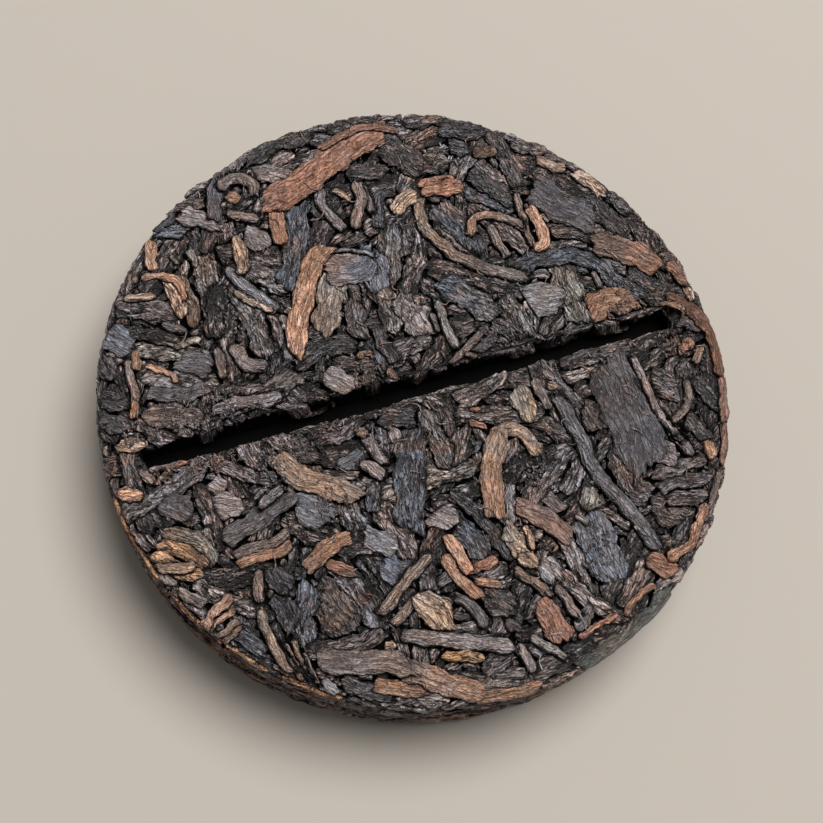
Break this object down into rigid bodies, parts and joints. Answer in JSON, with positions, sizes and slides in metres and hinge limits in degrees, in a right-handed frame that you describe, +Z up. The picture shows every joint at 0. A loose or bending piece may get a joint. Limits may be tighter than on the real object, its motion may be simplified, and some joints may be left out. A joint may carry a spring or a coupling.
{
  "type": "pu erh tea cake",
  "caption": "Small round cake of dark fermented tea, pressed from whole twisted leaves, with a straight breaking groove across its top.",
  "frame": {"origin": "middle of the underside, on the surface the cake lies on", "axes": "+Z up out of the grooved face, +X along the breaking groove"},
  "size_m": [0.0499, 0.05, 0.0085],
  "materials": {
    "pressed_leaf": "dry dark leaf, near black, matt to slightly satin on the pressed backs",
    "red_leaf": "dry red-brown leaf and stalk",
    "golden_bud": "dry ochre leaf bud, downy"
  },
  "bodies": {
    "root": {"tea_cake": "pressed_leaf"}
  },
  "joints": []
}
